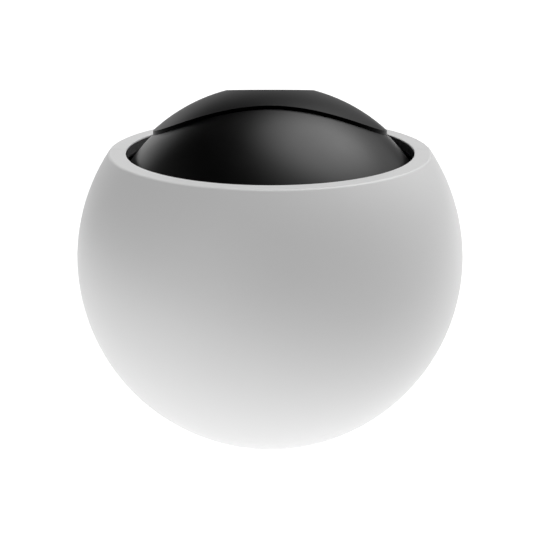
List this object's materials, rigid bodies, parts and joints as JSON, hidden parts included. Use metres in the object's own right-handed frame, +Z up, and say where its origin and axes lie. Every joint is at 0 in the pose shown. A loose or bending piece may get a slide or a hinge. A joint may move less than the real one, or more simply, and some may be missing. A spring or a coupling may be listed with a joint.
{
  "type": "smart speaker",
  "caption": "Ball-shaped smart speaker: pale split shell with a level opening, black inner dome, pressable oval cap and upward-firing woofer.",
  "frame": {"origin": "centre of the foot's resting face, on the table", "axes": "+Z up along the ball's axis, -Y is the front, +X is to the right seen from the front"},
  "size_m": [0.15, 0.15, 0.137],
  "materials": {
    "shell": "satin light grey plastic with a fine mineral grain",
    "ring_gloss": "glossy dark grey moulded ring",
    "ball_gloss": "smooth black plastic with a soft gloss",
    "cap_gloss": "smooth black plastic with a soft gloss",
    "pad_glass": "black hard-coated touch panel",
    "light": "milky light guide",
    "black_matte": "fine-textured black plastic",
    "port_matte": "fine-textured black plastic",
    "foot_rubber": "matte black rubber",
    "foam": "closed-cell foam",
    "steel": "zinc-plated steel",
    "black_metal": "black painted pressed steel",
    "ferrite": "sintered ferrite",
    "tin": "tinned sheet steel",
    "aluminium": "bare aluminium",
    "brass": "turned brass",
    "copper": "enamelled copper wire on an aluminium former",
    "cone_paper": "coated paper pulp",
    "cloth": "resin-stiffened woven cloth",
    "mesh_cloth": "black acoustic cloth",
    "circuit_board": "solder-masked circuit board",
    "cable": "flat flexible cable",
    "knob": "fine-textured dark grey plastic"
  },
  "bodies": {
    "speaker_body": {"front_shell": "shell", "rear_shell": "shell", "seam_dowels": "black_matte", "throat_ring": "ring_gloss", "base_plate": "black_matte", "foot_ring": "foot_rubber", "base_screws": "steel", "ballast": "steel", "tub": "black_matte", "tub_gasket": "foam", "baffle": "black_matte", "baffle_screws": "steel", "edge_seal": "foam", "basket": "black_metal", "top_plate": "steel", "magnet": "ferrite", "yoke": "steel", "surround": "foot_rubber", "spider": "cloth", "clamp_ring": "black_matte", "woofer_screws": "steel", "pillars": "black_matte", "diffuser": "black_matte", "dust_mesh": "mesh_cloth", "dome": "ball_gloss", "dome_screws": "steel", "cap_springs": "steel", "control_board": "circuit_board", "control_screws": "steel", "switch_body": "black_matte", "main_board": "circuit_board", "board_spacers": "brass", "board_screws": "steel", "shield_can": "tin", "heat_sink": "aluminium", "capacitors": "aluminium", "port_panel": "port_matte", "port_board": "circuit_board", "panel_screws": "steel", "power_inlet": "tin", "inlet_tongue": "black_matte", "mic_switch": "black_matte", "pairing_switch": "black_matte", "control_ribbon": "cable", "speaker_lead": "cable"},
    "cap_unit": {"control_cap": "cap_gloss", "touch_pad": "pad_glass", "light_dot": "light", "pad_board": "circuit_board", "microphones": "tin", "cap_screws": "steel", "switch_stem": "black_matte"},
    "cone_unit": {"cone": "cone_paper", "dust_cap": "cone_paper", "voice_coil": "copper"},
    "mic_knob_unit": {"mic_knob": "knob"},
    "pairing_button_unit": {"pairing_button": "knob"}
  },
  "joints": [
    {"name": "cap_press", "type": "slide", "parent": "speaker_body", "child": "cap_unit", "axis": [0, 0, -1], "range_m": [0, 0.0006], "stiffness_N_per_m": 900, "springref_m": -0.001, "deforming": ["cap_springs"]},
    {"name": "cone_travel", "type": "slide", "parent": "speaker_body", "child": "cone_unit", "axis": [0, 0, 1], "range_m": [-0.002, 0.002], "stiffness_N_per_m": 900, "deforming": ["surround", "spider"]},
    {"name": "mic_slide", "type": "slide", "parent": "speaker_body", "child": "mic_knob_unit", "axis": [1, 0, 0], "range_m": [0, 0.003]},
    {"name": "pairing_press", "type": "slide", "parent": "speaker_body", "child": "pairing_button_unit", "axis": [0, -0.766, 0.6428], "range_m": [0, 0.0005], "stiffness_N_per_m": 400, "springref_m": -0.0005}
  ]
}
